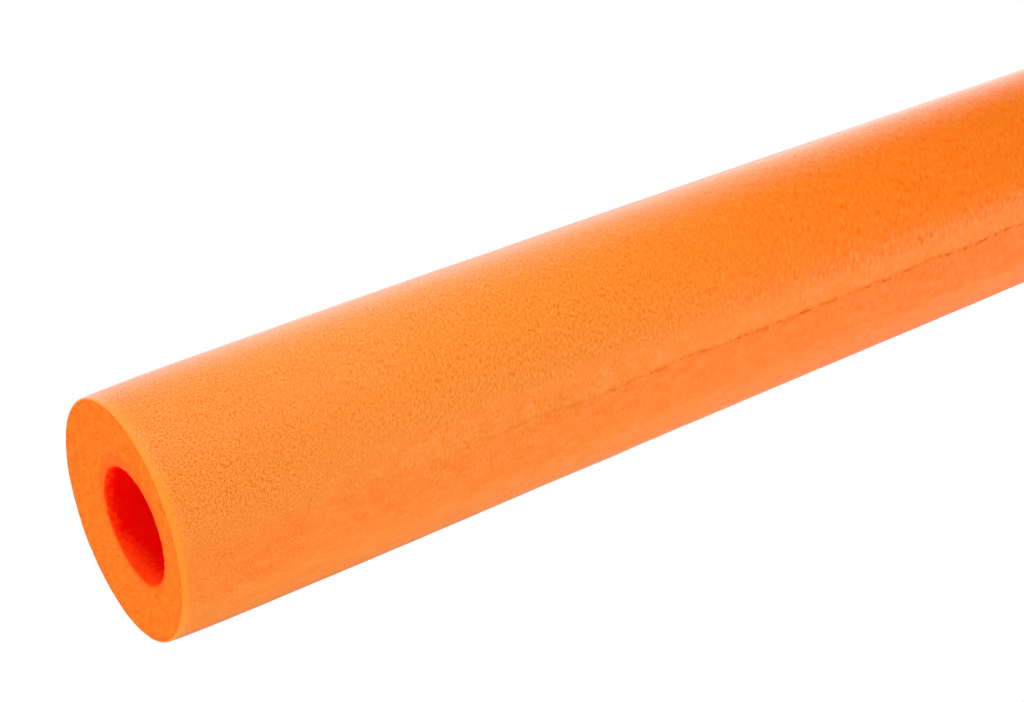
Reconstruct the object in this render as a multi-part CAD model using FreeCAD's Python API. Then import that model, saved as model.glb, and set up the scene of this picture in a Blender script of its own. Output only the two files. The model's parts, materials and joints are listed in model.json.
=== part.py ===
import FreeCAD, Part
import math
import os

# A hollow flotation tube of closed-cell polyethylene foam, extruded and cut square at both ends.
# Its foam has three zones, one inside the other: a smooth outer skin, a cellular core, and a thin
# skin that lines the bore. The bore lies off the tube's axis, towards the front.
#
# Lengths are millimetres. The origin is on the outer wall's axis at mid-length, +X runs along the
# tube and +Z is up. Angles round the tube are counted from the front, -Y, up towards +Z.

LENGTH = 1600.0
OUTER_RADIUS = 32.5
OUTER_SKIN_THICKNESS = 1.0

# The saw squeezes the foam, so the wall draws in a little just before each cut.
NECK_LENGTH = 12.0
NECK_DEPTH = 0.8
RIM_ROUNDING = 0.5

BORE_RADIUS = 15.6
BORE_SKIN_THICKNESS = 0.8
BORE_OFFSET = 6.2
BORE_ANGLE = 21.0
BORE_RIM_ROUNDING = 0.5

# The extrusion die leaves one fine groove along the whole outer wall.
DIE_LINE_ANGLE = 11.0
DIE_LINE_WIDTH = 0.7
DIE_LINE_DEPTH = 0.3
CUTTER_CLEARANCE = 1.0

NEAR_END = -LENGTH / 2
FAR_END = LENGTH / 2
AXIS = FreeCAD.Vector(1, 0, 0)
CENTRE = FreeCAD.Vector(0, 0, 0)


def across(radius, angle):
    """The point of the YZ plane at that radius and at that angle from the front."""
    turn = math.radians(angle)
    return FreeCAD.Vector(0, -radius * math.cos(turn), radius * math.sin(turn))


def above_axis(x, radius):
    """The point straight above the axis, where every profile is drawn."""
    return FreeCAD.Vector(x, 0, radius)


def neck_arc(end, inward, radius):
    """The arc in which a wall of that radius draws in towards one end."""
    bend = (NECK_LENGTH ** 2 + NECK_DEPTH ** 2) / (2 * NECK_DEPTH)
    half_turn = math.asin(NECK_LENGTH / bend) / 2
    wall_end = end + inward * NECK_LENGTH
    middle_x = wall_end - inward * bend * math.sin(half_turn)
    middle_radius = radius - bend * (1 - math.cos(half_turn))
    points = (
        above_axis(wall_end, radius),
        above_axis(middle_x, middle_radius),
        above_axis(end, radius - NECK_DEPTH),
    )
    return Part.Arc(*points).toShape()


def wall_line(radius):
    """The profile of a wall that is straight at mid-length and draws in at both ends."""
    straight = Part.makeLine(
        above_axis(NEAR_END + NECK_LENGTH, radius),
        above_axis(FAR_END - NECK_LENGTH, radius),
    )
    return [neck_arc(NEAR_END, 1, radius), straight, neck_arc(FAR_END, -1, radius)]


def straight_line(radius):
    """The profile of a wall that keeps its radius from end to end."""
    return [Part.makeLine(above_axis(NEAR_END, radius), above_axis(FAR_END, radius))]


def closed_profile(inner_edges, inner_end_radius, outer_edges, outer_end_radius):
    """The face between two wall profiles, closed at both ends."""
    end_edges = [
        Part.makeLine(above_axis(end, inner_end_radius), above_axis(end, outer_end_radius))
        for end in (NEAR_END, FAR_END)
    ]
    edges = Part.__sortEdges__(inner_edges + outer_edges + end_edges)
    return Part.Face(Part.Wire(edges))


def bore_cylinder(radius):
    """A cylinder of the tube's length on the bore's axis."""
    start = across(BORE_OFFSET, BORE_ANGLE) + AXIS * NEAR_END
    return Part.makeCylinder(radius, LENGTH, start, AXIS)


def end_circles(solid, radius):
    """The solid's circular edges of that radius that lie in an end plane."""
    found = []
    for edge in solid.Edges:
        is_circle = isinstance(edge.Curve, Part.Circle)
        if is_circle and math.isclose(edge.Curve.Radius, radius, abs_tol=1e-6):
            if math.isclose(abs(edge.Curve.Center.x), FAR_END, abs_tol=1e-6):
                found.append(edge)
    return found


def die_line_cutter():
    """A thin curved bar that follows the outer wall and reaches into it."""
    floor_radius = OUTER_RADIUS - DIE_LINE_DEPTH
    clear_radius = OUTER_RADIUS + CUTTER_CLEARANCE
    profile = closed_profile(
        wall_line(floor_radius),
        floor_radius - NECK_DEPTH,
        straight_line(clear_radius),
        clear_radius,
    )
    spread = math.degrees(DIE_LINE_WIDTH / OUTER_RADIUS)
    top_angle = 90.0
    profile.rotate(CENTRE, AXIS, top_angle - DIE_LINE_ANGLE - spread / 2)
    return profile.revolve(CENTRE, AXIS, spread)


def make_outer_skin():
    """The smooth dense skin round the outside, with rounded rims and the die line."""
    inner_radius = OUTER_RADIUS - OUTER_SKIN_THICKNESS
    profile = closed_profile(
        wall_line(inner_radius),
        inner_radius - NECK_DEPTH,
        wall_line(OUTER_RADIUS),
        OUTER_RADIUS - NECK_DEPTH,
    )
    skin = profile.revolve(CENTRE, AXIS, 360)
    skin = skin.makeFillet(RIM_ROUNDING, end_circles(skin, OUTER_RADIUS - NECK_DEPTH))
    return skin.cut(die_line_cutter())


def make_foam_core():
    """The thick cellular foam between the two skins."""
    wall_radius = OUTER_RADIUS - OUTER_SKIN_THICKNESS
    profile = closed_profile(
        straight_line(0),
        0,
        wall_line(wall_radius),
        wall_radius - NECK_DEPTH,
    )
    core = profile.revolve(CENTRE, AXIS, 360)
    return core.cut(bore_cylinder(BORE_RADIUS + BORE_SKIN_THICKNESS))


def make_bore_skin():
    """The thin skin that lines the bore, with rounded rims."""
    lining = bore_cylinder(BORE_RADIUS + BORE_SKIN_THICKNESS).cut(bore_cylinder(BORE_RADIUS))
    return lining.makeFillet(BORE_RIM_ROUNDING, end_circles(lining, BORE_RADIUS))


def export(node, shape):
    """Writes one zone's single solid to its own file, named for its node."""
    solid = shape.Solids[0]
    solid.exportStep(os.path.join("parts", node + ".step"))


def main():
    os.makedirs("parts", exist_ok=True)
    export("outer_skin", make_outer_skin())
    export("foam_core", make_foam_core())
    export("bore_skin", make_bore_skin())


main()
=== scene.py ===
import json
import math

import bpy
import numpy as np
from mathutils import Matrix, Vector


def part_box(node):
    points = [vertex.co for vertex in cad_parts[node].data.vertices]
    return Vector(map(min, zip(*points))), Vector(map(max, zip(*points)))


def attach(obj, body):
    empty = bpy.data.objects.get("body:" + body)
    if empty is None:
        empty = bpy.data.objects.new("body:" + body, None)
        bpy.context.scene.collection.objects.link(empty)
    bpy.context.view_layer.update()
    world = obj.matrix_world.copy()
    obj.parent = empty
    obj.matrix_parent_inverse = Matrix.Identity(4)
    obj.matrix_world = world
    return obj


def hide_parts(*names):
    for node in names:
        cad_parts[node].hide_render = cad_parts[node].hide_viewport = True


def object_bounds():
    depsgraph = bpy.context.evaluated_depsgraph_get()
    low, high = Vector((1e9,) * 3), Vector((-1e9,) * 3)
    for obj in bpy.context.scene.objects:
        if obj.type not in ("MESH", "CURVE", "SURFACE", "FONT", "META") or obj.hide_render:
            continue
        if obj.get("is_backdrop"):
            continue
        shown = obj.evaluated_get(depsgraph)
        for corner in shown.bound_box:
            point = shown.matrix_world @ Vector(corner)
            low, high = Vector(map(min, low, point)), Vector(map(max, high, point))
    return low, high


# A hollow tube of orange closed-cell foam, lying on a white table in soft studio light.
# Metres throughout, in the CAD frame: +X runs along the tube and +Z is up.
# "Angle" is the angle round the tube in degrees, from the front (-Y) up towards the top (+Z).

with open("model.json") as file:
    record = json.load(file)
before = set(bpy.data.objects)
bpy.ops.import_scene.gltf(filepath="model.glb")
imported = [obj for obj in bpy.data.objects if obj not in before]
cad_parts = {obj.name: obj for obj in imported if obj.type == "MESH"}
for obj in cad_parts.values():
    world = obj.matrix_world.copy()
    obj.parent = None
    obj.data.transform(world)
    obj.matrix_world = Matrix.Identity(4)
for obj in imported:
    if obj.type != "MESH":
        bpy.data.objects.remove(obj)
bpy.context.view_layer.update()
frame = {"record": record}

# ---- sizes, from the frame ----

skin_low, skin_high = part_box("outer_skin")
core_low, core_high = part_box("foam_core")
lining_low, lining_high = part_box("bore_skin")
bore_mount = next(m for m in frame["record"]["mounts"] if m["name"] == "bore")

NEAR_END = skin_low.x
FAR_END = skin_high.x
LENGTH = FAR_END - NEAR_END
RADIUS = (skin_high.z - skin_low.z) / 2
CORE_RADIUS = (core_high.z - core_low.z) / 2
LINING_RADIUS = (lining_high.z - lining_low.z) / 2
BORE_RADIUS = bore_mount["dims"]["r_mm"] / 1000
BORE_Y = (lining_low.y + lining_high.y) / 2
BORE_Z = (lining_low.z + lining_high.z) / 2

MM = 0.001

# ---- the shape ----

# The stretch before each cut in which the wall's rings stand closer, as in the CAD's neck.
NECK_LENGTH = 12 * MM
RIM_ROUNDING = 0.4 * MM
RIM_STEPS = 5
BORE_RIM_ROUNDING = 0.45 * MM
BORE_RIM_STEPS = 4

# The wall draws in over a hand's width before each cut, and a little more right at the rim,
# most of all at the lower front. Away from the cuts it is a little fuller than the CAD's.
LONG_TAPER = 0.53 * MM
LONG_TAPER_REACH = 45 * MM
SHORT_TAPER = 0.20 * MM
SHORT_TAPER_REACH = 7 * MM
MIDDLE_SWELL = 0.12 * MM
SLOW_SWELL = 0.16 * MM
SLOW_SWELL_REACH = 200 * MM
PINCH = 0.55 * MM
PINCH_REACH = 8 * MM
PINCH_ANGLE = -20

# The near end hangs towards the front and below.
SAG = np.array([0, -0.42, -0.54]) * MM
SAG_LENGTH = 195 * MM
SAG_POWER = 1.3
TIP_SAG = np.array([0, -0.20, -0.25]) * MM
TIP_SAG_REACH = 15 * MM

# The saw pulled the lower front of each face outwards.
LEAN = 1.2 * MM
LEAN_ANGLE = -20
LEAN_POWER = 1.5
LEAN_REACH = 12 * MM

# The saw also pressed the bore's mouths a little flatter, and down. The squash is full at the
# lining and has died out at this radius round the bore, just short of the skin.
BORE_SQUASH = 0.04
BORE_DROP = 0.35 * MM
BORE_SQUASH_REACH = 60 * MM
BORE_CLEAR = CORE_RADIUS - math.hypot(BORE_Y, BORE_Z) - 1 * MM

# The die line is a groove with a soft lip above it. It starts a little way in from each cut.
DIE_LINE_ANGLE = 11.0
DIE_LINE_WIDTH = 0.5 * MM
DIE_LINE_DEPTH = 0.20 * MM
DIE_LINE_START = 8 * MM
DIE_LINE_FADE = 160 * MM
LIP_OFFSET = 0.8 * MM
LIP_WIDTH = 0.6 * MM
LIP_HEIGHT = 0.05 * MM

# How closely the meshes are divided, and where their finer stretches begin and end.
AROUND_EVEN = 176
AROUND_DIE_LINE = 14
DIE_LINE_SPREAD = 3.2
WALL_STEP = 3.3 * MM
NECK_STEPS = (0.10, 0.16, 0.24, 0.34, 0.46, 0.60, 0.78)
HIDDEN_WALL_STATIONS = 41
ACROSS_FACE_STATIONS = 41
MOUTH_START = 0.6 * MM
MOUTH_LENGTH = 40 * MM
MOUTH_STATIONS = 64
BORE_MIDDLE_START = 48 * MM
BORE_MIDDLE_STATIONS = 180

# How the meshes are laid out for baked textures.
UV_MARGIN = 0.004
HIDDEN_SHARE = 0.005
SKIN_STRIPS = 3
BORE_SHOWN_LENGTH = 60 * MM
BORE_DEEP_SHARE = 0.1

# Relief. Each set of waves is its seed, its usual wavelength and how many waves it sums.
WAVE_SPREAD = (0.7, 1.5)
FACE_INSET = 0.1 * MM
FACE_SLOW_WAVES = (11, 16 * MM, 28)
FACE_SLOW_DEPTH = 0.03 * MM
FACE_CELL_WAVES = (12, 2.2 * MM, 40)
FACE_CELL_LEVEL = 0.9
FACE_CELL_DEPTH = 0.12 * MM
FACE_FINE_WAVES = (13, 1.1 * MM, 40)
FACE_FINE_LEVEL = 1.0
FACE_FINE_PIT = 0.08 * MM
FACE_FINE_DEPTH = 0.015 * MM

WALL_SLOW_WAVES = (21, 34 * MM, 28)
WALL_SLOW_DEPTH = 0.05 * MM
WALL_QUICK_WAVES = (22, 13 * MM, 28)
WALL_QUICK_DEPTH = 0.02 * MM
WALL_END_CALM = 0.8
WALL_END_CALM_REACH = 25 * MM

GROOVE_BREAK_WAVES = (24, 22 * MM, 28)
GROOVE_MEAN = 0.75
GROOVE_SWING = 0.5
GROOVE_LIMITS = (0.15, 1.0)
LINE_SLOW_WAVES = (25, 28 * MM, 28)
LINE_SLOW_SHIFT = 0.50
LINE_QUICK_WAVES = (26, 7 * MM, 28)
LINE_QUICK_SHIFT = 0.35

BORE_LUMP_WAVES = (31, 2.6 * MM, 48)
BORE_LUMP_DEPTH = 0.04 * MM
BORE_MOUTH_LUMP_DEPTH = 0.08 * MM
BORE_SWELL_WAVES = (32, 11 * MM, 28)
BORE_SWELL_DEPTH = 0.04 * MM
BORE_FINE_WAVES = (33, 1.5 * MM, 48)
BORE_FINE_DEPTH = 0.08 * MM
BORE_MOUTH_REACH = 3.5 * MM


def ring_angles(finer=1):
    """Angles round the tube, in degrees: even, with extra ones across the die line."""
    step = 360 / AROUND_EVEN
    even = DIE_LINE_ANGLE + 180 + step * (np.arange(AROUND_EVEN) + 0.5)
    even = (even + 180) % 360 - 180
    clear = np.abs(even - DIE_LINE_ANGLE) > DIE_LINE_SPREAD + step / 2
    close = DIE_LINE_ANGLE + DIE_LINE_SPREAD * np.linspace(-1, 1, AROUND_DIE_LINE + 1)
    angles = np.sort(np.concatenate([even[clear], close]))
    if finer > 1:
        following = np.append(angles[1:], angles[0] + 360)
        shares = np.arange(finer) / finer
        angles = (angles[:, None] + (following - angles)[:, None] * shares).ravel()
    return angles


def distance_from_end(x):
    """How far x lies inside the nearer cut end."""
    return np.clip(np.minimum(x - NEAR_END, FAR_END - x), 0, None)


def towards(angles, angle):
    """1 on the side of the tube at that angle, 0 on the opposite side, smooth in between."""
    return (1 + np.cos(np.radians(angles - angle))) / 2


def taper(x, angles):
    """How far the outer wall has drawn in, for each x and each angle."""
    gap = distance_from_end(x)[:, None]
    even = LONG_TAPER * np.exp(-gap / LONG_TAPER_REACH) - MIDDLE_SWELL
    even = even - SLOW_SWELL * (1 - np.exp(-gap / SLOW_SWELL_REACH))
    even = even + SHORT_TAPER * np.exp(-gap / SHORT_TAPER_REACH)
    return even + PINCH * np.exp(-gap / PINCH_REACH) * towards(angles, PINCH_ANGLE)[None, :]


def settle(points):
    """Leans the cut faces, squashes the bore's mouths and lets the near end sag, as foam does."""
    x = points[..., 0]
    angles = np.degrees(np.arctan2(points[..., 2], -points[..., 1]))
    radius_share = np.hypot(points[..., 1], points[..., 2]) / RADIUS
    side = np.sign(x)
    gap = distance_from_end(x)
    lean = LEAN * radius_share ** 2 * towards(angles, LEAN_ANGLE) ** LEAN_POWER
    settled = points.copy()
    settled[..., 0] += side * lean * np.clip(1 - gap / LEAN_REACH, 0, 1)
    off_bore = np.hypot(points[..., 1] - BORE_Y, points[..., 2] - BORE_Z)
    squashed = np.clip((BORE_CLEAR - off_bore) / (BORE_CLEAR - LINING_RADIUS), 0, 1)
    squashed = squashed * np.exp(-gap / BORE_SQUASH_REACH)
    settled[..., 2] -= (BORE_SQUASH * (points[..., 2] - BORE_Z) + BORE_DROP) * squashed
    long_share = np.clip(1 - (x - NEAR_END) / SAG_LENGTH, 0, 1) ** SAG_POWER
    tip_share = np.exp(-np.clip(x - NEAR_END, 0, None) / TIP_SAG_REACH)
    return settled + long_share[..., None] * SAG + tip_share[..., None] * TIP_SAG


def waves(points, seed, wavelength, count):
    """Smooth random relief between about -1 and 1, the sum of waves in random directions."""
    random = np.random.default_rng(seed)
    directions = random.normal(size=(count, 3))
    directions /= np.linalg.norm(directions, axis=1)[:, None]
    lengths = wavelength * random.uniform(*WAVE_SPREAD, count)
    phases = random.uniform(0, 2 * math.pi, count)
    total = np.zeros(points.shape[:-1])
    for direction, length, phase in zip(directions, lengths, phases):
        total += np.cos(points @ direction * (2 * math.pi / length) + phase)
    return total / math.sqrt(count)


def on_circle(x, radius, angles, centre_y=0.0, centre_z=0.0):
    """One ring of points at x, or one ring for each x."""
    x, radius = np.broadcast_arrays(np.atleast_1d(x), np.atleast_1d(radius))
    turn = np.radians(angles)
    rings = np.empty((len(x), len(angles), 3))
    rings[..., 0] = x[:, None]
    rings[..., 1] = centre_y - radius[:, None] * np.cos(turn)
    rings[..., 2] = centre_z + radius[:, None] * np.sin(turn)
    return rings


def rounded_corner(end, inward, face_radius, wall_radius, steps):
    """x and radius along a rounded edge, from the cut face round to the wall."""
    size = abs(wall_radius - face_radius)
    turn = np.linspace(0, math.pi / 2, steps + 1)
    x = end + inward * size * (1 - np.cos(turn))
    radius = face_radius + (wall_radius - face_radius) * np.sin(turn)
    return x, radius


# ---- relief ----


def cut_relief(points):
    """How far a cut face stands in from flat: slow waviness and small open cells."""
    slow = waves(points, *FACE_SLOW_WAVES) * FACE_SLOW_DEPTH
    cells = waves(points, *FACE_CELL_WAVES)
    fine = waves(points, *FACE_FINE_WAVES)
    pits = np.clip(cells - FACE_CELL_LEVEL, 0, None) * FACE_CELL_DEPTH
    pits = pits + np.clip(fine - FACE_FINE_LEVEL, 0, None) * FACE_FINE_PIT
    return slow + pits + fine * FACE_FINE_DEPTH


def cut_face(rings, end, inward):
    """Moves rings that lie on a cut face in by the face's relief."""
    rings = rings.copy()
    rings[..., 0] = end + inward * (FACE_INSET + cut_relief(rings))
    return rings


def die_line_shift(x):
    """How far the die line wanders round the tube, in degrees, for each x."""
    along = np.stack([x, np.zeros_like(x), np.zeros_like(x)], axis=-1)
    slow = waves(along, *LINE_SLOW_WAVES) * LINE_SLOW_SHIFT
    return slow + waves(along, *LINE_QUICK_WAVES) * LINE_QUICK_SHIFT


def wall_relief(points, angles):
    """How far the outer wall stands out: soft unevenness, and the groove of the die line."""
    gap = distance_from_end(points[..., 0])
    calm = 1 - WALL_END_CALM * np.exp(-gap / WALL_END_CALM_REACH)
    soft = waves(points, *WALL_SLOW_WAVES) * WALL_SLOW_DEPTH
    soft = soft + waves(points, *WALL_QUICK_WAVES) * WALL_QUICK_DEPTH
    along = points * np.array([1, 0, 0])
    breaks = GROOVE_MEAN + GROOVE_SWING * waves(along, *GROOVE_BREAK_WAVES)
    breaks = np.clip(breaks, *GROOVE_LIMITS)
    fade = np.clip((gap - DIE_LINE_START) / DIE_LINE_FADE, 0, 1)
    shift = die_line_shift(points[:, 0, 0])[:, None]
    off_line = (angles[None, :] - DIE_LINE_ANGLE - shift) * math.pi / 180 * RADIUS
    groove = np.exp(-((off_line / (DIE_LINE_WIDTH / 2)) ** 2)) * breaks * fade
    lip = np.exp(-(((off_line - LIP_OFFSET) / LIP_WIDTH) ** 2)) * fade
    return soft * calm - groove * DIE_LINE_DEPTH + lip * LIP_HEIGHT


def bore_relief(points):
    """How far the bore's wall stands in: lumps of torn cells at the mouth, calmer deeper in."""
    depth = distance_from_end(points[..., 0])
    mouth = np.exp(-depth / BORE_MOUTH_REACH)
    lumps = waves(points, *BORE_LUMP_WAVES) * (BORE_LUMP_DEPTH + BORE_MOUTH_LUMP_DEPTH * mouth)
    small_lumps = waves(points, *BORE_FINE_WAVES) * BORE_FINE_DEPTH * mouth
    swells = waves(points, *BORE_SWELL_WAVES) * BORE_SWELL_DEPTH
    return lumps + small_lumps + swells


# ---- meshes ----


def unwrap(mesh, rings, angles, shown, rows):
    """Lays the surface out flat as straight strips, one above the other, for baked textures.

    shown says for each ring how much of the strip the faces after it get; hidden ones get little.
    """
    steps = np.linalg.norm(np.roll(rings, -1, axis=0) - rings, axis=-1).mean(axis=1) * shown
    starts = np.concatenate([[0], np.cumsum(steps)])
    row = np.minimum(starts[:-1] * rows / starts[-1], rows - 1).astype(int)
    row_starts = np.array([starts[:-1][row == number].min() for number in range(rows)])
    row_ends = np.array([starts[1:][row == number].max() for number in range(rows)])
    longest = (row_ends - row_starts).max()
    first = UV_MARGIN + (starts[:-1] - row_starts[row]) / longest * (1 - 2 * UV_MARGIN)
    last = UV_MARGIN + (starts[1:] - row_starts[row]) / longest * (1 - 2 * UV_MARGIN)
    turn = np.append((angles - angles[0]) / 360, 1.0)
    height = (row[:, None] + UV_MARGIN * rows + turn * (1 - 2 * UV_MARGIN * rows)) / rows
    corners = np.empty((len(rings), len(angles), 4, 2))
    corners[:, :, (0, 1), 0] = first[:, None, None]
    corners[:, :, (2, 3), 0] = last[:, None, None]
    corners[:, :, (0, 3), 1] = height[:, :-1, None]
    corners[:, :, (1, 2), 1] = height[:, 1:, None]
    layer = mesh.uv_layers.new(name="OFBake")
    layer.data.foreach_set("uv", corners.astype(np.float32).ravel())


def closed_mesh(name, rings, angles, cut_rings, finishes, shown, rows=1):
    """A closed surface through rings of points that end where they began.

    Faces between two rings that both lie on a cut face get the second finish, the others the first.
    """
    loops, around = rings.shape[:2]
    mesh = bpy.data.meshes.new(name)
    count = loops * around
    here = np.arange(count).reshape(loops, around)
    beside = np.roll(here, -1, axis=1)
    ahead = np.roll(here, -1, axis=0)
    beyond = np.roll(ahead, -1, axis=1)
    quads = np.stack([here, beside, beyond, ahead], axis=-1).reshape(-1, 4)
    mesh.vertices.add(count)
    mesh.vertices.foreach_set("co", rings.astype(np.float32).ravel())
    mesh.loops.add(quads.size)
    mesh.loops.foreach_set("vertex_index", quads.astype(np.int32).ravel())
    mesh.polygons.add(len(quads))
    mesh.polygons.foreach_set("loop_start", np.arange(0, quads.size, 4, dtype=np.int32))
    on_cut = cut_rings & np.roll(cut_rings, -1)
    mesh.polygons.foreach_set("material_index", np.repeat(on_cut, around).astype(np.int32))
    mesh.polygons.foreach_set("use_smooth", np.ones(len(quads), dtype=bool))
    mesh.update(calc_edges=True)
    unwrap(mesh, rings, angles, shown, rows)
    mesh.validate()
    for finish in finishes:
        mesh.materials.append(finish)
    piece = bpy.data.objects.new(name, mesh)
    bpy.context.scene.collection.objects.link(piece)
    return piece


def build_outer_skin(finishes):
    """The skin: its outer wall, both rims, the pale edge of both cuts and a hidden inner wall."""
    angles = ring_angles()
    stations = round((LENGTH - 2 * NECK_LENGTH) / WALL_STEP)
    middle = np.linspace(NEAR_END + NECK_LENGTH, FAR_END - NECK_LENGTH, stations)
    neck = NECK_LENGTH * np.array(NECK_STEPS)
    x_wall = np.concatenate([NEAR_END + neck, middle, FAR_END - neck[::-1]])
    r_face = RADIUS - RIM_ROUNDING
    near_rim = rounded_corner(NEAR_END, 1, r_face, RADIUS, RIM_STEPS)
    far_rim = rounded_corner(FAR_END, -1, r_face, RADIUS, RIM_STEPS)
    x_outer = np.concatenate([near_rim[0], x_wall, far_rim[0][::-1]])
    r_outer = np.concatenate([near_rim[1], np.full(len(x_wall), RADIUS), far_rim[1][::-1]])
    outer = on_circle(x_outer, r_outer, angles)
    relief = wall_relief(outer, angles)
    outward = on_circle(0, 1, angles)
    share = np.clip(distance_from_end(x_outer) / RIM_ROUNDING, 0, 1)[:, None]
    outer = outer + (relief * share - taper(x_outer, angles))[..., None] * outward
    inward = np.where(x_outer < 0, 1, -1)[:, None]
    outer[..., 0] += (FACE_INSET + cut_relief(outer)) * (1 - share) * inward
    core_edge = on_circle(0, CORE_RADIUS, angles)
    core_edge = core_edge - taper(np.array([NEAR_END]), angles)[..., None] * outward
    near_ring = cut_face(core_edge + [NEAR_END, 0, 0], NEAR_END, 1)
    far_ring = cut_face(core_edge + [FAR_END, 0, 0], FAR_END, -1)
    inner_x = np.array([FAR_END - NECK_LENGTH, NEAR_END + NECK_LENGTH])
    inner = on_circle(inner_x, CORE_RADIUS, angles)
    rings = np.concatenate([near_ring, outer, far_ring, inner])
    is_cut = np.zeros(len(rings), dtype=bool)
    is_cut[:2] = True
    is_cut[len(outer):len(outer) + 2] = True
    shown = np.ones(len(rings))
    shown[len(outer) + 1:] = HIDDEN_SHARE
    settled = settle(rings)
    piece = closed_mesh("outer_skin_foam", settled, angles, is_cut, finishes, shown, SKIN_STRIPS)
    shift = np.repeat(die_line_shift(rings[:, 0, 0]), len(angles))
    line_shift = piece.data.attributes.new("line_shift", "FLOAT", "POINT")
    line_shift.data.foreach_set("value", shift)
    return piece


def build_foam_core(finishes):
    """The core: both cut faces, and the hidden walls under the skin and the lining."""
    angles = ring_angles(2)
    shares = np.linspace(0, 1, ACROSS_FACE_STATIONS)[:, None, None]
    faces = []
    for end, inward in ((NEAR_END, 1), (FAR_END, -1)):
        inner = on_circle(end, LINING_RADIUS, angles, BORE_Y, BORE_Z)
        outer = on_circle(end, CORE_RADIUS, angles)
        outer = outer - taper(np.array([end]), angles)[..., None] * on_circle(0, 1, angles)
        faces.append(cut_face(inner * (1 - shares) + outer * shares, end, inward))
    wall_x = np.linspace(NEAR_END, FAR_END, HIDDEN_WALL_STATIONS)[1:-1]
    wall_x = np.concatenate([[NEAR_END + NECK_LENGTH], wall_x, [FAR_END - NECK_LENGTH]])
    outer_wall = on_circle(wall_x, CORE_RADIUS, angles)
    inner_wall = on_circle(wall_x[::-1], LINING_RADIUS, angles, BORE_Y, BORE_Z)
    rings = np.concatenate([faces[0], outer_wall, faces[1][::-1], inner_wall])
    is_cut = np.zeros(len(rings), dtype=bool)
    is_cut[:len(faces[0])] = True
    is_cut[len(faces[0]) + len(outer_wall):2 * len(faces[0]) + len(outer_wall)] = True
    shown = np.where(is_cut & np.roll(is_cut, -1), 1.0, HIDDEN_SHARE)
    return closed_mesh("foam_core_cut", settle(rings), angles, is_cut, finishes, shown)


def build_bore_skin(finishes):
    """The lining: its inner wall, both mouths and a hidden outer wall."""
    angles = ring_angles()
    fine = np.linspace(MOUTH_START, MOUTH_LENGTH, MOUTH_STATIONS)
    coarse_start = NEAR_END + BORE_MIDDLE_START
    coarse = np.linspace(coarse_start, FAR_END - BORE_MIDDLE_START, BORE_MIDDLE_STATIONS)
    x_wall = np.concatenate([NEAR_END + fine, coarse, FAR_END - fine[::-1]])
    face_radius = BORE_RADIUS + BORE_RIM_ROUNDING
    near_rim = rounded_corner(NEAR_END, 1, face_radius, BORE_RADIUS, BORE_RIM_STEPS)
    far_rim = rounded_corner(FAR_END, -1, face_radius, BORE_RADIUS, BORE_RIM_STEPS)
    x_inner = np.concatenate([near_rim[0], x_wall, far_rim[0][::-1]])
    r_inner = np.concatenate([near_rim[1], np.full(len(x_wall), BORE_RADIUS), far_rim[1][::-1]])
    inner = on_circle(x_inner, r_inner, angles, BORE_Y, BORE_Z)
    inner = inner - bore_relief(inner)[..., None] * on_circle(0, 1, angles)
    face_share = np.clip(1 - distance_from_end(x_inner) / BORE_RIM_ROUNDING, 0, 1)[:, None]
    inward = np.where(x_inner < 0, 1, -1)[:, None]
    inner[..., 0] += (FACE_INSET + cut_relief(inner)) * face_share * inward
    near_ring = cut_face(on_circle(NEAR_END, LINING_RADIUS, angles, BORE_Y, BORE_Z), NEAR_END, 1)
    far_ring = cut_face(on_circle(FAR_END, LINING_RADIUS, angles, BORE_Y, BORE_Z), FAR_END, -1)
    wall_x = np.linspace(FAR_END, NEAR_END, HIDDEN_WALL_STATIONS)[1:-1]
    outer_wall = on_circle(wall_x, LINING_RADIUS, angles, BORE_Y, BORE_Z)
    rings = np.concatenate([near_ring, inner, far_ring, outer_wall])[::-1]
    is_cut = np.zeros(len(rings), dtype=bool)
    is_cut[:2] = True
    is_cut[len(inner):len(inner) + 2] = True
    mouths = distance_from_end(rings[:, 0, 0]) < BORE_SHOWN_LENGTH
    shown = np.where(mouths, 1.0, BORE_DEEP_SHARE)
    shown[:len(outer_wall) - 1] = HIDDEN_SHARE
    return closed_mesh("bore_skin_foam", settle(rings), angles, is_cut[::-1], finishes, shown)


# ---- material nodes ----


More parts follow.
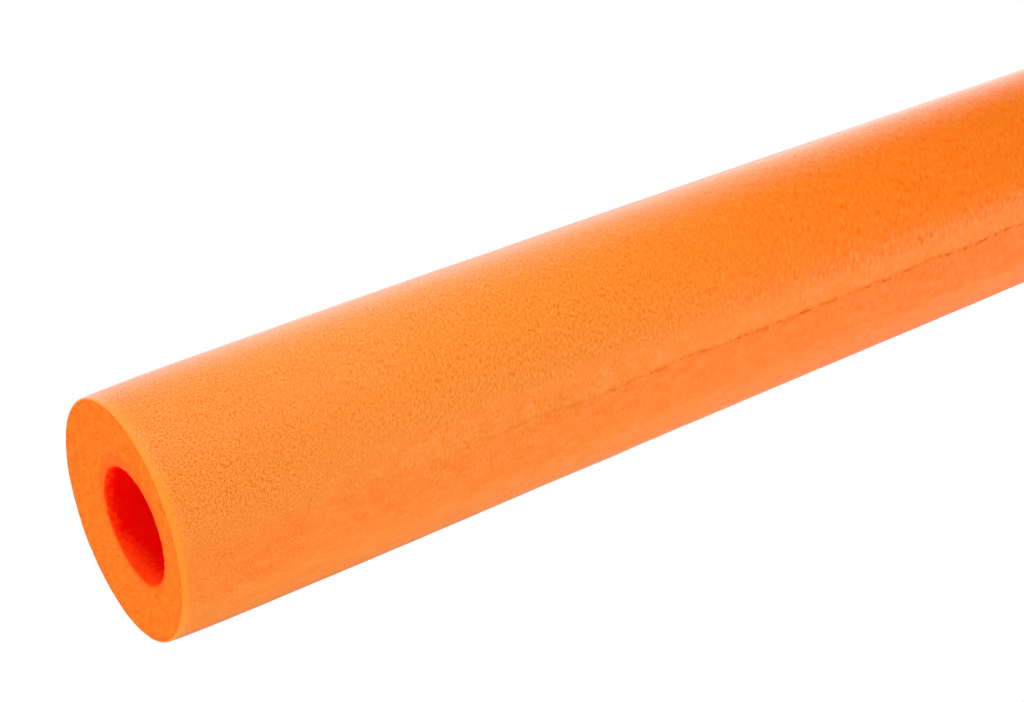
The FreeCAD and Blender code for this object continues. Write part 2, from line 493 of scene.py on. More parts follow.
class Tree:
    """A short way to write a node tree: most methods add one node and return its output."""

    def __init__(self, owner):
        owner.use_nodes = True
        self.nodes = owner.node_tree.nodes
        self.links = owner.node_tree.links
        self.nodes.clear()

    def add(self, kind, settings=None, **inputs):
        """Adds a node with those settings and inputs, and returns the node itself."""
        node = self.nodes.new(kind)
        for name, value in (settings or {}).items():
            setattr(node, name, value)
        for name, value in inputs.items():
            self.feed(node.inputs[name.replace("_", " ")], value)
        return node

    def feed(self, socket, value):
        """Gives a socket its value, or links another node's output to it."""
        if isinstance(value, bpy.types.NodeSocket):
            self.links.new(value, socket)
        else:
            socket.default_value = value

    def math(self, operation, *values):
        node = self.nodes.new("ShaderNodeMath")
        node.operation = operation
        for socket, value in zip(node.inputs, values):
            self.feed(socket, value)
        return node.outputs[0]

    def plus(self, first, second):
        return self.math("ADD", first, second)

    def minus(self, first, second):
        return self.math("SUBTRACT", first, second)

    def times(self, first, second):
        return self.math("MULTIPLY", first, second)

    def larger(self, first, second):
        return self.math("MAXIMUM", first, second)

    def smaller(self, first, second):
        return self.math("MINIMUM", first, second)

    def scaled(self, vector, factors):
        node = self.nodes.new("ShaderNodeVectorMath")
        node.operation = "MULTIPLY"
        self.feed(node.inputs[0], vector)
        self.feed(node.inputs[1], factors)
        return node.outputs[0]

    def moved(self, vector, offset):
        node = self.nodes.new("ShaderNodeVectorMath")
        node.operation = "ADD"
        self.feed(node.inputs[0], vector)
        self.feed(node.inputs[1], offset)
        return node.outputs[0]

    def ramp(self, value, low, high, start=0.0, end=1.0):
        """value taken smoothly from start at low to end at high."""
        node = self.nodes.new("ShaderNodeMapRange")
        node.interpolation_type = "SMOOTHSTEP"
        for socket, item in zip(node.inputs, (value, low, high, start, end)):
            self.feed(socket, item)
        return node.outputs[0]

    def value_mix(self, share, first, second):
        """A value between first, where share is 0, and second, where share is 1."""
        node = self.nodes.new("ShaderNodeMix")
        self.feed(node.inputs["Factor"], share)
        self.feed(node.inputs[2], first)
        self.feed(node.inputs[3], second)
        return node.outputs[0]

    def noise(self, place, waves_per_metre, detail=2.0, roughness=0.5):
        """Noise round 0.5, with that many waves per metre along each axis of the place."""
        node = self.add("ShaderNodeTexNoise", Scale=1.0, Detail=detail, Roughness=roughness)
        self.feed(node.inputs["Vector"], self.scaled(place, waves_per_metre))
        return node.outputs["Fac"]

    def colour_mix(self, share, first, second):
        """A colour between first, where share is 0, and second, where share is 1."""
        node = self.nodes.new("ShaderNodeMix")
        node.data_type = "RGBA"
        self.feed(node.inputs["Factor"], share)
        self.feed(node.inputs[6], first)
        self.feed(node.inputs[7], second)
        return node.outputs[2]

    def bump(self, height, distance, strength=1.0):
        node = self.add("ShaderNodeBump", Height=height, Distance=distance, Strength=strength)
        return node.outputs["Normal"]

    def surface(self, **inputs):
        """Ends the tree in one principled surface."""
        shader = self.add("ShaderNodeBsdfPrincipled", **inputs)
        self.add("ShaderNodeOutputMaterial", Surface=shader.outputs[0])

# ---- finishes ----

# Colours are linear red, green, blue and alpha. Valleys of the grain are deeper, ridges paler.
SKIN_VALLEY = (0.71, 0.158, 0.0010, 1)
SKIN_VALLEY_SMOOTH = (0.77, 0.158, 0.0010, 1)
# Far from the ends this valley colour is also the painted shade below the die line.
FAR_VALLEY_AND_PAINTED_SHADE = (0.97, 0.146, 0.0002, 1)
SKIN_RIDGE = (0.96, 0.262, 0.0120, 1)
# Far from the ends this ridge colour is also the painted light at the back.
FAR_RIDGE_AND_PAINTED_LIGHT = (1.00, 0.246, 0.0100, 1)
# A painted reflection: the pale strip above the die line.
STRIP_PAINTED_REFLECTION = (1.00, 0.250, 0.0200, 1)
MARK_DARK = (0.66, 0.148, 0.0020, 1)
# A painted highlight on the rounded rim.
RIM_PAINTED_HIGHLIGHT = (1.00, 0.310, 0.0200, 1)
DIE_LINE_DARK = (0.74, 0.110, 0.0010, 1)
CUT_VALLEY = (0.86, 0.118, 0.0006, 1)
CUT_RIDGE = (0.98, 0.228, 0.0045, 1)
CUT_NEAR_BORE = (0.90, 0.090, 0.0020, 1)
CUT_SPECK = (0.66, 0.125, 0.0020, 1)
# The bore's colours: the paler mouth colour is painted light, the pure reds deeper in are painted
# shade.
MOUTH_PAINTED_LIGHT_RED = (1.00, 0.070, 0.0060, 1)
BORE_PAINTED_SHADE_RED = (0.94, 0.006, 0.0002, 1)
BORE_PAINTED_DEEP_SHADE_RED = (0.93, 0.001, 0.0000, 1)
# A painted glow for light seeping through the foam wall.
BORE_PAINTED_GLOW = (1.00, 0.020, 0.0000, 1)

# Below, the values of a ramp are those that Tree.ramp takes after its first: low and high, and
# where it doesn't run from 0 to 1, also start and end. The values of a noise are those that
# Tree.noise takes after its first: waves per metre, detail and roughness.

# Zones of the skin along the tube, by how far a place lies inside the nearer cut end.
NEAR_ZONE = (10 * MM, 80 * MM, 1.0, 0.0)
FAR_ZONE = (110 * MM, 240 * MM)

# The strokes of the grain run round the tube, leaning this way along it.
STROKE_ALONG = 0.45
STROKE_ROUND = 0.89

# The grain's strokes are bent by a coarser noise, and rougher in some patches than in others.
GRAIN_WARP_SCALE = 520.0
GRAIN_WARP = 1.3 * MM
GRAIN_PATCHES = ((230, 170, 1), 1.0)
GRAIN_ROUGHER = (0.35, 0.62, 0.72, 1.20)
FINE_GRAIN = ((2500, 1600, 1), 1.5)
FINE_GRAIN_GAINS = (0.55, 3.5)
MIDDLE_GRAIN = ((1800, 850, 1), 1.5)
MIDDLE_GRAIN_GAINS = (0.6, 1.9)
COARSE_GRAIN = ((950, 420, 1), 1.5)
COARSE_GRAIN_GAINS = (0.45, 1.5)
NOISE_GAIN = 3.3

SMALL_MARKS = ((1700, 1200, 1), 0.0)
SMALL_MARK_RAMP = (0.60, 0.70)
SMALL_MARK_SHARE = 0.65
MARKS = ((1250, 620, 1), 0.0)
MARK_RAMP = (0.61, 0.72)
MARK_SHARE = 0.07
MARK_SHARE_FAR = 0.02
MARKS_SHOWN = (0.5, 1.0, 0.35, 1.0)

# Angles above and below which the skin is grainy; between them it is smooth.
GRAIN_TOP = 26.0
GRAIN_TOP_FAR = 21.0
GRAIN_TOP_LOWERED_NEAR = 12.0
GRAIN_TOP_SOFTNESS = 4.5
GRAIN_TOP_SOFTNESS_FAR = 2.0
GRAIN_TOP_SOFTER_NEAR = 14.0
GRAIN_BOTTOM = (-120.0, -105.0, 1.0, 0.0)
GRAIN_EDGE_PATCHES = ((60, 90, 90), 2.0)
GRAIN_EDGE_WANDER = 1.6
SMOOTH_GRAIN = 0.50
SMOOTH_GRAIN_BELOW = (-30.0, 0.0, 0.6, 1.0)
RIM_GRAIN = (0.5 * MM, 3 * MM, 0.6, 1.0)
SMOOTH_MOTTLE = ((210, 330, 330), 3.0, 0.6)
SMOOTH_MOTTLE_SHARE = 0.45
GRAIN_CONTRAST = 0.62
GRAIN_MIDDLE = 0.5

# Bands of painted light and shade on the skin: a painted reflection above the die line, painted shade
# below it, and painted light at the back, where light would pass through the thin edge.
PAINTED_REFLECTION_BAND = (12.0, 13.5)
PAINTED_REFLECTION_ALONG = (50 * MM, 220 * MM)
PAINTED_REFLECTION_SHARE = 0.45
PAINTED_SHADE_BAND_BOTTOM = (-16.0, -11.0)
PAINTED_SHADE_BAND_TOP = (10.0, 12.0, 1.0, 0.0)
PAINTED_SHADE_BAND_SHARE = 0.20
BACK_PAINTED_LIGHT_FRONT = (80.0, 104.0)
BACK_PAINTED_LIGHT_BACK = (130.0, 160.0, 1.0, 0.0)
BACK_PAINTED_LIGHT_SHARE = 0.45

# The die line's width, in degrees, and its breaks vary along the tube.
LINE_WIDTHS = ((330, 0, 0), 3.0, 0.7)
LINE_WIDTH_RAMP = (0.35, 0.65, 0.6, 2.1)
LINE_HEART = 0.15
LINE_BREAKS = ((190, 0, 0), 4.0, 0.75)
LINE_BREAK_RAMP = (0.42, 0.60)
LINE_ALONG = (30 * MM, 200 * MM)
LINE_SHARE = 0.95

# The rim has a pale, ragged painted highlight, and on top the skin keeps a weaker painted highlight
# beside it.
RIM_RAGS = ((420, 420, 420), 2.0)
RIM_RAG_DEPTH = 0.55 * MM
RIM_BAND = (0.0, 0.8 * MM, 1.0, 0.0)
RIM_HIGHLIGHT_SHARE = 0.50
BESIDE_RIM_HIGHLIGHT = (0.5 * MM, 4.0 * MM, 0.30, 0.0)
BESIDE_RIM_RAGGED = 2.0
BESIDE_RIM_ABOVE = (-10.0, 30.0)

# The ridges of the grain shine most; the rim, the die line and the marks are nearly matt.
SKIN_GLOSS = 0.46
SKIN_ROUGHNESS = 0.18
SKIN_BUMP = 0.016 * MM
GLINT = 0.8
GLINT_LIMIT = 0.9
GLINT_GAIN = 0.25
GLINT_GAIN_FAR = 0.42
GLINT_GAIN_SMOOTH = 0.5
RIM_MATT = 0.6
LINE_MATT = 0.9
MARK_MATT = 0.9

# The saw drew the cut's grain out along one slant.
CUT_ACROSS_SLANT = 0.97
CUT_ALONG_SLANT = 0.52
CUT_CELLS = ((1000, 1000, 1), 1.0)
CUT_CELL_SHARE = 0.30
CUT_MOTTLE = ((270, 270, 1), 2.0)
CUT_MOTTLE_SHARE = 0.36
CUT_PITS = ((600, 600, 1), 0.0)
CUT_PIT_RAMP = (0.62, 0.78)
CUT_PIT_SHARE = 0.45
CUT_MIDDLE = 0.52
CUT_SPECKS = ((1400, 1400, 1), 0.0)
CUT_SPECK_RAMP = (0.62, 0.72, 0.0, 0.65)
CUT_REDDENED = (LINING_RADIUS - 0.5 * MM, LINING_RADIUS + 3.0 * MM, 0.45, 0.0)
CUT_REDDENED_WANDER = 0.8 * MM
CUT_BUMP = 0.04 * MM
CUT_ROUGHNESS = 0.9
CUT_GLOSS = 0.1

# The bore's mouth has a ragged painted light, which reaches further in on the low side, where more
# light falls.
MOUTH_RAGS = ((900, 900, 900), 2.0, 0.6)
MOUTH_RAG_DEPTH = 1.7 * MM
MOUTH_LIT_LOW_SIDE = (BORE_Z - 15.5 * MM, BORE_Z - 9 * MM, 2.0 * MM, 0.0)
MOUTH_BEGINS = -1.5 * MM
MOUTH_ENDS = 3.2 * MM
# The lining's painted glow: strongest at the mouth, and deeper in, stronger on the low side.
MOUTH_PAINTED_GLOW = 0.14
DEEP_PAINTED_GLOW = (BORE_Z - 12 * MM, BORE_Z + 4 * MM, 0.016, 0.008)
BORE_MOTTLE = ((380, 380, 380), 2.0)
BORE_MOTTLE_RAMP = (0.35, 0.65)
BORE_LUMPS = ((900, 900, 900), 2.0)
BORE_BUMP = 0.22 * MM
BORE_BUMP_STRENGTH = (0.0, 10 * MM, 1.0, 0.25)


def end_gap(tree, axes):
    """How far a place lies inside the nearer cut end."""
    return tree.smaller(tree.minus(axes["X"], NEAR_END), tree.minus(FAR_END, axes["X"]))


def around_angle(tree, axes):
    """The angle round the tube, in degrees."""
    front = tree.times(axes["Y"], -1.0)
    return tree.math("DEGREES", tree.math("ARCTAN2", axes["Z"], front))


def centred(tree, noise):
    """Noise spread to about -1 to 1, with 0 in the middle."""
    return tree.times(tree.minus(noise, 0.5), NOISE_GAIN)


def object_place(tree):
    """A place on the piece, and its three coordinates."""
    place = tree.add("ShaderNodeTexCoord").outputs["Object"]
    return place, tree.add("ShaderNodeSeparateXYZ", Vector=place).outputs


def stroke_place(tree, axes, angle):
    """Places on the skin, unrolled: across the strokes of the grain, then along them."""
    along = axes["X"]
    around = tree.times(angle, math.pi / 180 * RADIUS)
    across = tree.minus(tree.times(along, STROKE_ROUND), tree.times(around, STROKE_ALONG))
    down = tree.plus(tree.times(along, STROKE_ALONG), tree.times(around, STROKE_ROUND))
    return tree.add("ShaderNodeCombineXYZ", X=across, Y=down).outputs[0]


def sparse_grain(tree, place, noise, gains):
    """Grain whose small swings are damped, and whose peaks stand out."""
    even, peaks = gains
    value = centred(tree, tree.noise(place, *noise))
    gain = tree.plus(even, tree.times(tree.math("ABSOLUTE", value), peaks))
    return tree.times(value, gain)


def skin_grain(tree, place, near, far):
    """The grain of the skin and its dark marks: short crooked strokes, finer near the cut ends."""
    warp = tree.add("ShaderNodeTexNoise", Vector=place, Scale=GRAIN_WARP_SCALE, Detail=0.0)
    warp = tree.moved(warp.outputs["Color"], (-0.5, -0.5, -0.5))
    bent = tree.moved(place, tree.scaled(warp, (GRAIN_WARP, GRAIN_WARP, GRAIN_WARP)))
    rougher = tree.ramp(tree.noise(place, *GRAIN_PATCHES), *GRAIN_ROUGHER)
    fine = sparse_grain(tree, bent, FINE_GRAIN, FINE_GRAIN_GAINS)
    middle = sparse_grain(tree, bent, MIDDLE_GRAIN, MIDDLE_GRAIN_GAINS)
    coarse = sparse_grain(tree, bent, COARSE_GRAIN, COARSE_GRAIN_GAINS)
    grain = tree.value_mix(far, tree.value_mix(near, middle, fine), coarse)
    small_marks = tree.ramp(tree.noise(place, *SMALL_MARKS), *SMALL_MARK_RAMP)
    marks = tree.ramp(tree.noise(bent, *MARKS), *MARK_RAMP)
    marks = tree.times(marks, tree.value_mix(far, MARK_SHARE, MARK_SHARE_FAR))
    marks = tree.value_mix(near, marks, tree.times(small_marks, SMALL_MARK_SHARE))
    return tree.times(grain, rougher), tree.times(marks, rougher)


def skin_zones(tree, place, angle, near, far):
    """The wandering angle, how far it lies above the smooth front, and how grainy the skin is."""
    patches = centred(tree, tree.noise(place, *GRAIN_EDGE_PATCHES))
    edge = tree.minus(angle, tree.times(patches, GRAIN_EDGE_WANDER))
    top = tree.value_mix(far, GRAIN_TOP, GRAIN_TOP_FAR)
    top = tree.minus(top, tree.times(near, GRAIN_TOP_LOWERED_NEAR))
    softness = tree.value_mix(far, GRAIN_TOP_SOFTNESS, GRAIN_TOP_SOFTNESS_FAR)
    softness = tree.plus(tree.times(near, GRAIN_TOP_SOFTER_NEAR), softness)
    above = tree.ramp(tree.minus(edge, top), tree.times(softness, -1.0), softness)
    below = tree.ramp(edge, *GRAIN_BOTTOM)
    return edge, above, tree.larger(above, below)


def skin_bands(tree, colour, angle, edge, above, gap, far):
    """The skin's colour with painted light and shade in bands along the tube: a painted reflection
    above the die line, painted shade below it, painted light at the back.
    """
    # A painted reflection above the die line.
    painted_reflection = tree.times(tree.ramp(angle, *PAINTED_REFLECTION_BAND), tree.minus(1.0, above))
    painted_reflection = tree.times(painted_reflection, tree.ramp(gap, *PAINTED_REFLECTION_ALONG))
    colour = tree.colour_mix(tree.times(painted_reflection, PAINTED_REFLECTION_SHARE), colour, STRIP_PAINTED_REFLECTION)
    # Painted shade below the die line.
    painted_shade = tree.times(tree.ramp(edge, *PAINTED_SHADE_BAND_BOTTOM), tree.ramp(angle, *PAINTED_SHADE_BAND_TOP))
    colour = tree.colour_mix(tree.times(painted_shade, PAINTED_SHADE_BAND_SHARE), colour, FAR_VALLEY_AND_PAINTED_SHADE)
    # Painted light at the back, for light through the thin edge.
    back = tree.times(tree.ramp(angle, *BACK_PAINTED_LIGHT_FRONT), tree.ramp(angle, *BACK_PAINTED_LIGHT_BACK))
    back = tree.times(back, tree.times(far, BACK_PAINTED_LIGHT_SHARE))
    return tree.colour_mix(back, colour, FAR_RIDGE_AND_PAINTED_LIGHT)


def die_line(tree, place, angle, gap):
    """Where the die line is dark: it wanders with its groove, breaks off and fades to the ends."""
    line_shift = tree.add("ShaderNodeAttribute", {"attribute_name": "line_shift"}).outputs["Fac"]
    off_line = tree.minus(tree.minus(angle, DIE_LINE_ANGLE), line_shift)
    width = tree.ramp(tree.noise(place, *LINE_WIDTHS), *LINE_WIDTH_RAMP)
    on_line = tree.ramp(tree.math("ABSOLUTE", off_line), LINE_HEART, width, 1.0, 0.0)
    breaks = tree.ramp(tree.noise(place, *LINE_BREAKS), *LINE_BREAK_RAMP)
    return tree.times(on_line, tree.times(breaks, tree.ramp(gap, *LINE_ALONG)))


def skin_rim(tree, colour, place, angle, gap):
    """Where the ragged rim is, and the skin's colour with a painted highlight on the rim and beside
    it on top.
    """
    rags = tree.times(centred(tree, tree.noise(place, *RIM_RAGS)), RIM_RAG_DEPTH)
    rim = tree.ramp(tree.plus(gap, rags), *RIM_BAND)
    # A painted highlight on the rim.
    colour = tree.colour_mix(tree.times(rim, RIM_HIGHLIGHT_SHARE), colour, RIM_PAINTED_HIGHLIGHT)
    # A weaker painted highlight beside the rim, on top.
    beside = tree.ramp(tree.plus(gap, tree.times(rags, BESIDE_RIM_RAGGED)), *BESIDE_RIM_HIGHLIGHT)
    beside = tree.times(beside, tree.ramp(angle, *BESIDE_RIM_ABOVE))
    return rim, tree.colour_mix(beside, colour, RIM_PAINTED_HIGHLIGHT)


def skin_gloss(tree, grain, smooth, far, rim, line, marks):
    """How strongly the skin mirrors: most on the ridges, least on the rim, the line and marks."""
    gain = tree.value_mix(far, GLINT_GAIN, GLINT_GAIN_FAR)
    gain = tree.larger(gain, tree.times(smooth, GLINT_GAIN_SMOOTH))
    glint = tree.plus(tree.times(grain, GLINT), tree.larger(grain, 0.0))
    gloss = tree.plus(SKIN_GLOSS, tree.times(tree.smaller(glint, GLINT_LIMIT), gain))
    matt = tree.larger(tree.times(rim, RIM_MATT), tree.times(line, LINE_MATT))
    matt = tree.larger(matt, tree.times(marks, MARK_MATT))
    return tree.times(gloss, tree.minus(1.0, matt))


def skin_finish():
    """Extruded skin: grainy above, smooth in front, with the dark die line, a painted reflection as a
    pale strip, painted shade below the line and painted highlights at the back and the rim.
    """
    material = bpy.data.materials.new("foam_skin")
    tree = Tree(material)
    place, axes = object_place(tree)
    angle = around_angle(tree, axes)
    gap = end_gap(tree, axes)
    near = tree.ramp(gap, *NEAR_ZONE)
    far = tree.ramp(gap, *FAR_ZONE)
    grain, marks = skin_grain(tree, stroke_place(tree, axes, angle), near, far)
    edge, above, grainy = skin_zones(tree, place, angle, near, far)
    smooth = tree.minus(1.0, grainy)
    calm = tree.times(tree.ramp(angle, *SMOOTH_GRAIN_BELOW), SMOOTH_GRAIN)
    amount = tree.times(tree.larger(grainy, calm), tree.ramp(gap, *RIM_GRAIN))
    mottle = centred(tree, tree.noise(place, *SMOOTH_MOTTLE))
    mottle = tree.times(mottle, tree.times(smooth, SMOOTH_MOTTLE_SHARE))
    grain = tree.plus(tree.times(grain, amount), mottle)
    valley = tree.colour_mix(smooth, SKIN_VALLEY, SKIN_VALLEY_SMOOTH)
    valley = tree.colour_mix(far, valley, FAR_VALLEY_AND_PAINTED_SHADE)
    ridge = tree.colour_mix(far, SKIN_RIDGE, FAR_RIDGE_AND_PAINTED_LIGHT)
    share = tree.plus(tree.times(grain, GRAIN_CONTRAST), GRAIN_MIDDLE)
    colour = tree.colour_mix(share, valley, ridge)
    marks = tree.times(marks, tree.ramp(amount, *MARKS_SHOWN))
    colour = tree.colour_mix(marks, colour, MARK_DARK)
    colour = skin_bands(tree, colour, angle, edge, above, gap, far)
    line = die_line(tree, place, angle, gap)
    colour = tree.colour_mix(tree.times(line, LINE_SHARE), colour, DIE_LINE_DARK)
    rim, colour = skin_rim(tree, colour, place, angle, gap)
    tree.surface(
        Base_Color=colour,
        Roughness=SKIN_ROUGHNESS,
        Specular_IOR_Level=skin_gloss(tree, grain, smooth, far, rim, line, marks),
        Normal=tree.bump(grain, SKIN_BUMP),
    )
    return material


def cut_finish():
    """Sawn foam: matt, mottled, with open cells too small for the mesh, and redder at the bore."""
    material = bpy.data.materials.new("foam_cut")
    tree = Tree(material)
    axes = object_place(tree)[1]
    across_slant = tree.times(tree.plus(axes["Y"], axes["Z"]), CUT_ACROSS_SLANT)
    along_slant = tree.times(tree.minus(axes["Y"], axes["Z"]), CUT_ALONG_SLANT)
    drawn = tree.add("ShaderNodeCombineXYZ", X=across_slant, Y=along_slant).outputs[0]
    cells = centred(tree, tree.noise(drawn, *CUT_CELLS))
    mottle = centred(tree, tree.noise(drawn, *CUT_MOTTLE))
    pits = tree.ramp(tree.noise(drawn, *CUT_PITS), *CUT_PIT_RAMP)
    grain = tree.plus(tree.times(cells, CUT_CELL_SHARE), tree.times(mottle, CUT_MOTTLE_SHARE))
    grain = tree.minus(grain, tree.times(pits, CUT_PIT_SHARE))
    colour = tree.colour_mix(tree.plus(grain, CUT_MIDDLE), CUT_VALLEY, CUT_RIDGE)
    specks = tree.ramp(tree.noise(drawn, *CUT_SPECKS), *CUT_SPECK_RAMP)
    colour = tree.colour_mix(specks, colour, CUT_SPECK)
    off_y = tree.minus(axes["Y"], BORE_Y)
    off_z = tree.minus(axes["Z"], BORE_Z)
    off_bore = tree.math("SQRT", tree.plus(tree.times(off_y, off_y), tree.times(off_z, off_z)))
    off_bore = tree.plus(off_bore, tree.times(mottle, CUT_REDDENED_WANDER))
    colour = tree.colour_mix(tree.ramp(off_bore, *CUT_REDDENED), colour, CUT_NEAR_BORE)
    tree.surface(
        Base_Color=colour,
        Roughness=CUT_ROUGHNESS,
        Specular_IOR_Level=CUT_GLOSS,
        Normal=tree.bump(grain, CUT_BUMP),
    )
    return material


def bore_finish():
    """The bore's lining: torn at the mouth, with painted light there, painted shade of pure red
    deeper in, and a painted glow for light that seeps in through the foam.
    """
    material = bpy.data.materials.new("foam_bore")
    tree = Tree(material)
    place, axes = object_place(tree)
    gap = end_gap(tree, axes)
    rags = tree.times(centred(tree, tree.noise(place, *MOUTH_RAGS)), MOUTH_RAG_DEPTH)
    lit_low_side = tree.ramp(axes["Z"], *MOUTH_LIT_LOW_SIDE)
    inside = tree.minus(tree.plus(gap, rags), lit_low_side)
    depth = tree.ramp(inside, MOUTH_BEGINS, tree.plus(MOUTH_ENDS, lit_low_side))
    mottle = tree.ramp(tree.noise(place, *BORE_MOTTLE), *BORE_MOTTLE_RAMP)
    # Painted light at the mouth, painted shade deeper in, with random mottle.
    colour = tree.colour_mix(depth, MOUTH_PAINTED_LIGHT_RED, tree.colour_mix(mottle, BORE_PAINTED_DEEP_SHADE_RED, BORE_PAINTED_SHADE_RED))
    lumps = tree.noise(place, *BORE_LUMPS)
    tree.surface(
        Base_Color=colour,
        Roughness=1.0,
        Specular_IOR_Level=0.0,
        Normal=tree.bump(lumps, BORE_BUMP, tree.ramp(gap, *BORE_BUMP_STRENGTH)),
        # A painted glow, standing in for light through the foam wall.
        Emission_Color=BORE_PAINTED_GLOW,
        Emission_Strength=tree.value_mix(depth, MOUTH_PAINTED_GLOW, tree.ramp(axes["Z"], *DEEP_PAINTED_GLOW)),
    )
    return material


# ---- studio ----

# Foam also passes light through, which these opaque finishes don't. So soft light and mirror light
# are set apart: the floor and the surround look different to a matt bounce and to a mirror bounce.
FLOOR_SOFT_LIGHT = 1.43
SIDE_SOFT_LIGHT = 0.75
TOP_SOFT_LIGHT = 0.98
BACK_SOFT_LIGHT = 0.30
SIDE_GLOSS = 1.00
TOP_GLOSS = (0.75, 0.95, 0.0, 0.45)
BACK_GLOSS = (0.6, 0.9, 0.0, 0.20)
BACK_GLOSS_HEIGHT = (0.15, 0.45, 1.0, 0.0)
DARK_SIDE = Vector((0.972, 0.0, 0.235))
DARK_SIDE_EDGE = 0.46
DARK_SIDE_SOFTNESS = 0.33
DARK_SIDE_HEIGHT = (0.05, 0.36)
DARK_SIDE_FRONT = (0.30, 0.90, 1.0, 0.0)

# What the floor shows to a mirror bounce: dim paper, brighter away from the tube, with a sheen
# right under it and one behind it. Sides is Y, across is its size, and along is from the near end.
FLOOR_HALF = 4.0
PAPER = (0.42, 0.42, 0.42, 1)
AWAY_START = 0.03
AWAY_LENGTH = 0.42
AWAY_SHEEN = 0.45
UNDER_ALONG = (0.03, 0.15, 0.06, 0.125)
UNDER_ACROSS = (0.032, 0.048, 1.0, 0.0)
UNDER_FURTHER = (0.17, 0.30)
CLOSE_ALONG = (0.06, 0.15, 0.0, 0.13)
CLOSE_FURTHER_LOSS = 0.11
CLOSE_ACROSS = (0.015, 0.021, 1.0, 0.0)
WIDE_ACROSS = (0.019, 0.027, 0.0, 0.045)
BEHIND_ALONG = (0.18, 0.32, 0.22, 0.09)
BEHIND_ALONG_FAR = (0.36, 0.50, 0.0, 0.35)
BEHIND_START = (0.04, 0.12)
BEHIND_END = (0.30, 1.20, 1.0, 0.5)

# A square softbox hangs over each end, a little in from the cut and to the front.
SOFTBOX_INSIDE = 0.06
SOFTBOX_FORWARD = 0.01
SOFTBOX_HEIGHT = 0.235
SOFTBOX_SIZE = 0.2
SOFTBOX_POWER = 0.22

# The camera's place is in radii of the tube, from the middle of the near end.
CAMERA_PLACE = Vector((-4.995, -11.676, 8.712))
CAMERA_RAISED = 0.11 * MM
CAMERA_FORWARD = Vector((0.51305, 0.69290, -0.50664))
CAMERA_LENS = 70.34
CAMERA_SENSOR = 36
CAMERA_CLIP_START = 0.01

DIFFUSE_BOUNCES = 10


def ray_kinds(tree):
    """Whether a ray comes straight from the camera, and whether from a mirror bounce."""
    kinds = tree.add("ShaderNodeLightPath").outputs
    return kinds["Is Camera Ray"], kinds["Is Glossy Ray"]


def floor_sheen(tree):
    """How brightly the floor glows to a mirror bounce."""
    place = tree.add("ShaderNodeNewGeometry").outputs["Position"]
    axes = tree.add("ShaderNodeSeparateXYZ", Vector=place).outputs
    along = tree.minus(axes["X"], NEAR_END)
    sides = axes["Y"]
    across = tree.math("ABSOLUTE", sides)
    away = tree.larger(tree.minus(across, AWAY_START), 0.0)
    away = tree.smaller(tree.math("DIVIDE", away, AWAY_LENGTH), 1.0)
    sheen = tree.times(tree.math("SQRT", away), AWAY_SHEEN)
    further = tree.ramp(along, *UNDER_FURTHER)
    close = tree.minus(tree.ramp(along, *CLOSE_ALONG), tree.times(further, CLOSE_FURTHER_LOSS))
    close = tree.times(close, tree.ramp(across, *CLOSE_ACROSS))
    wide = tree.times(further, tree.ramp(across, *WIDE_ACROSS))
    under = tree.plus(tree.plus(tree.ramp(along, *UNDER_ALONG), close), wide)
    under = tree.times(under, tree.ramp(across, *UNDER_ACROSS))
    behind = tree.plus(tree.ramp(along, *BEHIND_ALONG_FAR), tree.ramp(along, *BEHIND_ALONG))
    behind = tree.times(tree.ramp(sides, *BEHIND_START), behind)
    behind = tree.times(behind, tree.ramp(sides, *BEHIND_END))
    return tree.plus(sheen, tree.plus(under, behind))


def floor_finish():
    """Even white to the camera and to matt bounces, dim paper with a sheen to mirror bounces."""
    material = bpy.data.materials.new("floor_white")
    material.cycles.emission_sampling = "NONE"
    tree = Tree(material)
    seen, mirrored = ray_kinds(tree)
    strength = tree.plus(FLOOR_SOFT_LIGHT, tree.times(seen, 1.0 - FLOOR_SOFT_LIGHT))
    even = tree.add("ShaderNodeEmission", Strength=strength).outputs[0]
    sheen = tree.add("ShaderNodeEmission", Strength=floor_sheen(tree)).outputs[0]
    paper = tree.add("ShaderNodeBsdfDiffuse", Color=PAPER).outputs[0]
    mirror_look = tree.add("ShaderNodeAddShader", Shader=paper)
    tree.feed(mirror_look.inputs[1], sheen)
    both = tree.nodes.new("ShaderNodeMixShader")
    for socket, value in zip(both.inputs, (mirrored, even, mirror_look.outputs[0])):
        tree.feed(socket, value)
    tree.add("ShaderNodeOutputMaterial", Surface=both.outputs[0])
    return material


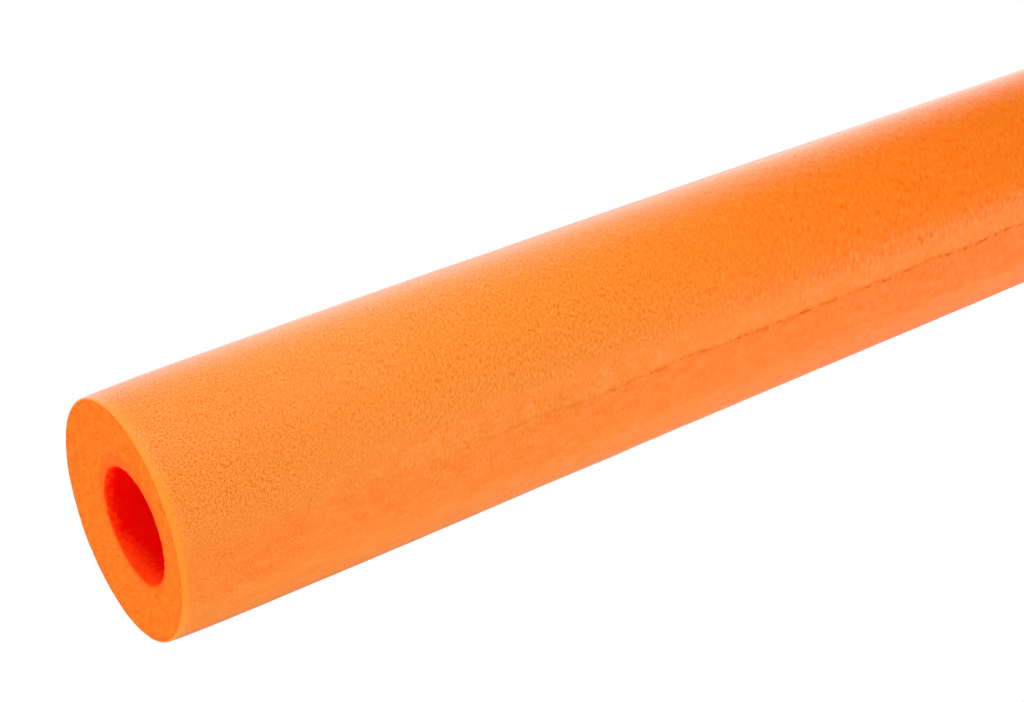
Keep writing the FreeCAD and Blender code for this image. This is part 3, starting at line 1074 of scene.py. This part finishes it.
def white_floor(level):
    """A white table that looks evenly lit, without the tube's shadow."""
    mesh = bpy.data.meshes.new("floor")
    half = FLOOR_HALF
    corners = [(-half, -half, level), (half, -half, level), (half, half, level), (-half, half, level)]
    mesh.from_pydata(corners, [], [(0, 1, 2, 3)])
    mesh.materials.append(floor_finish())
    floor = bpy.data.objects.new("floor", mesh)
    bpy.context.scene.collection.objects.link(floor)
    floor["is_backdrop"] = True


def studio_surround():
    """White light from all round, brightest above, with a dark part of the studio to the right."""
    world = bpy.data.worlds.new("studio")
    bpy.context.scene.world = world
    world.cycles.sampling_method = "NONE"
    tree = Tree(world)
    direction = tree.add("ShaderNodeTexCoord").outputs["Generated"]
    axes = tree.add("ShaderNodeSeparateXYZ", Vector=direction).outputs
    seen, mirrored = ray_kinds(tree)
    dot = tree.nodes.new("ShaderNodeVectorMath")
    dot.operation = "DOT_PRODUCT"
    tree.feed(dot.inputs[0], direction)
    tree.feed(dot.inputs[1], DARK_SIDE)
    reach = tree.minus(dot.outputs["Value"], DARK_SIDE_EDGE)
    reach = tree.math("DIVIDE", reach, DARK_SIDE_SOFTNESS)
    reach = tree.smaller(tree.larger(reach, 0.0), 1.0)
    dark = tree.times(tree.times(reach, reach), tree.ramp(axes["Z"], *DARK_SIDE_HEIGHT))
    dark = tree.times(dark, tree.ramp(axes["Y"], *DARK_SIDE_FRONT))
    overhead = tree.ramp(axes["Z"], *TOP_GLOSS)
    back = tree.ramp(axes["Y"], *BACK_GLOSS)
    back = tree.times(back, tree.ramp(axes["Z"], *BACK_GLOSS_HEIGHT))
    gloss = tree.plus(SIDE_GLOSS, tree.plus(overhead, back))
    gloss = tree.times(gloss, tree.minus(1.0, dark))
    soft = tree.ramp(axes["Z"], 0.0, 1.0, SIDE_SOFT_LIGHT, TOP_SOFT_LIGHT)
    soft = tree.plus(soft, tree.ramp(axes["Y"], 0.0, 1.0, 0.0, BACK_SOFT_LIGHT))
    strength = tree.plus(soft, tree.times(mirrored, tree.minus(gloss, soft)))
    strength = tree.plus(strength, tree.times(seen, tree.minus(1.0, strength)))
    glow = tree.add("ShaderNodeBackground", Color=(1, 1, 1, 1), Strength=strength)
    tree.add("ShaderNodeOutputWorld", Surface=glow.outputs[0])


def softbox(name, x):
    """A softbox over the tube's axis at x, unseen by the camera and by mirror bounces."""
    data = bpy.data.lights.new(name, "AREA")
    data.shape = "RECTANGLE"
    data.size = SOFTBOX_SIZE
    data.size_y = SOFTBOX_SIZE
    data.energy = SOFTBOX_POWER
    light = bpy.data.objects.new(name, data)
    light.visible_camera = False
    light.visible_glossy = False
    light.location = (x, -SOFTBOX_FORWARD, SOFTBOX_HEIGHT)
    light.rotation_mode = "QUATERNION"
    facing = Vector((x, 0, 0)) - light.location
    light.rotation_quaternion = facing.to_track_quat("-Z", "Y")
    bpy.context.scene.collection.objects.link(light)


def add_camera():
    """The camera at the left front, looking down along the tube from its near end."""
    data = bpy.data.cameras.new("camera")
    data.sensor_width = CAMERA_SENSOR
    data.lens = CAMERA_LENS
    data.clip_start = CAMERA_CLIP_START
    camera = bpy.data.objects.new("camera", data)
    near_centre = Vector((NEAR_END, 0, 0))
    camera.location = near_centre + CAMERA_PLACE * RADIUS + Vector((0, 0, CAMERA_RAISED))
    camera.rotation_mode = "QUATERNION"
    camera.rotation_quaternion = CAMERA_FORWARD.to_track_quat("-Z", "Y")
    bpy.context.scene.collection.objects.link(camera)
    bpy.context.scene.camera = camera


# ---- the scene ----

skin = skin_finish()
cut = cut_finish()
bore = bore_finish()

outer_skin = build_outer_skin([skin, cut])
foam_core = build_foam_core([cut, cut])
bore_skin = build_bore_skin([bore, cut])

for piece, node in ((outer_skin, "outer_skin"), (foam_core, "foam_core"), (bore_skin, "bore_skin")):
    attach(piece, "root")
    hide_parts(node)

white_floor(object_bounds()[0].z)
studio_surround()
softbox("near_softbox", NEAR_END + SOFTBOX_INSIDE)
softbox("far_softbox", FAR_END - SOFTBOX_INSIDE)
add_camera()

bpy.context.scene.view_settings.view_transform = "Standard"
bpy.context.scene.cycles.diffuse_bounces = DIFFUSE_BOUNCES
